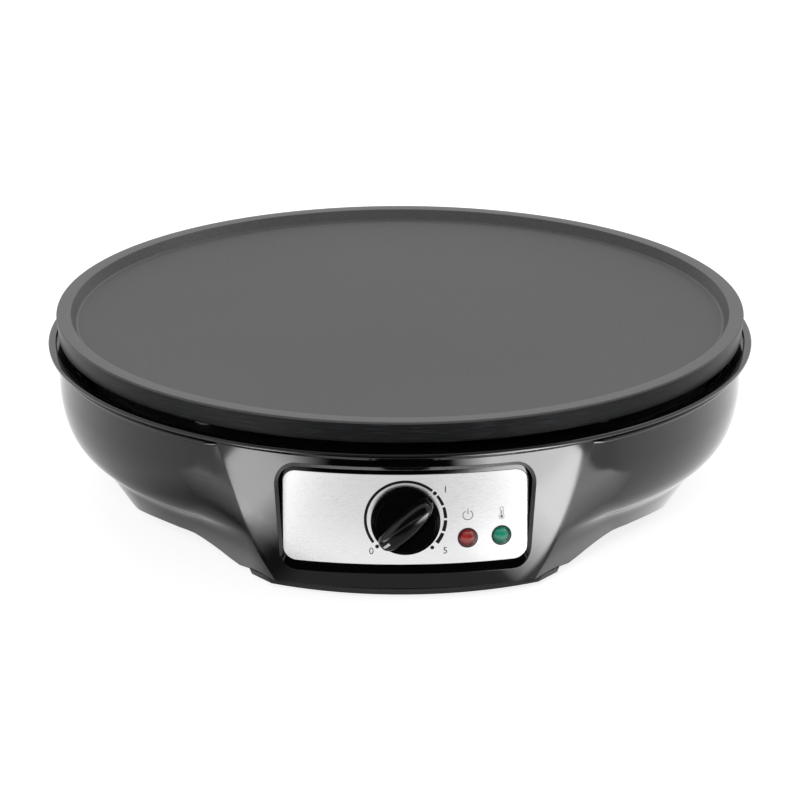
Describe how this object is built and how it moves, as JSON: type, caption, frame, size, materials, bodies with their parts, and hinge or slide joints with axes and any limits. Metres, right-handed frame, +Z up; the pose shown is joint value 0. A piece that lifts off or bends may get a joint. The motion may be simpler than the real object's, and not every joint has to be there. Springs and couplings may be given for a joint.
{
  "type": "electric crepe maker",
  "caption": "Round electric crepe maker: flat cast griddle plate with a raised rim on a low black housing with short legs, and a steel panel with a dial and lamps on its front console.",
  "frame": {"origin": "on the table, under the middle of the griddle plate", "axes": "+Z up through the middle of the plate, console towards -Y, +X to the right as seen from the front"},
  "size_m": [0.3156, 0.316, 0.082],
  "materials": {
    "griddle_coating": "matte non-stick coating on cast aluminium",
    "element_sheath": "dull, heat-darkened",
    "zinc_sheet": "zinc-plated sheet",
    "zinc_steel": "zinc-plated",
    "shield_sheet": "heat-resistant dark coating",
    "ceramic": "unglazed",
    "gloss_black": "high gloss",
    "matte_black": "fine matte",
    "rubber": "matte",
    "brushed_steel": "fine horizontal brushing",
    "knob_black": "gloss",
    "pointer_white": "satin",
    "brass": "plain",
    "thermostat_cream": "moulded heat-resistant plastic",
    "copper": "plain copper",
    "lens_red": "translucent",
    "lens_green": "translucent",
    "neon_glass": "clear",
    "lead_brown": "insulation",
    "lead_blue": "insulation",
    "lead_black": "insulation",
    "lead_green": "insulation"
  },
  "bodies": {
    "base": {"griddle_plate": "griddle_coating", "heating_element": "element_sheath", "element_clips": "zinc_sheet", "clip_screws": "zinc_steel", "heat_shield": "shield_sheet", "insulating_washers": "ceramic", "plate_screws": "zinc_steel", "upper_housing": "gloss_black", "bottom_cover": "matte_black", "cover_screws": "zinc_steel", "rubber_feet": "rubber", "control_fascia": "brushed_steel", "thermostat_bush": "brass", "thermostat_nut": "zinc_steel", "thermostat_bracket": "zinc_sheet", "thermostat_body": "thermostat_cream", "sensor_bulb": "copper", "bulb_clip": "zinc_sheet", "capillary_tube": "copper", "power_lamp_lens": "lens_red", "ready_lamp_lens": "lens_green", "lamp_retainers": "zinc_sheet", "power_neon": "neon_glass", "ready_neon": "neon_glass", "thermal_fuse": "ceramic", "fuse_clip": "zinc_sheet", "terminal_block": "ceramic", "terminal_screws": "brass", "cord_gland": "rubber", "gland_nut": "matte_black", "live_lead": "lead_brown", "neutral_lead": "lead_blue", "switched_lead": "lead_black", "earth_lead": "lead_green", "earth_screw": "brass"},
    "knob": {"control_knob": "knob_black", "knob_pointer": "pointer_white", "thermostat_shaft": "zinc_steel"}
  },
  "joints": [
    {"name": "knob_turn", "type": "hinge", "parent": "base", "child": "knob", "pos_m": [0, -0.1453, 0.0358], "axis": [0, 0.9994, -0.0349], "range_deg": [0, 270]}
  ]
}
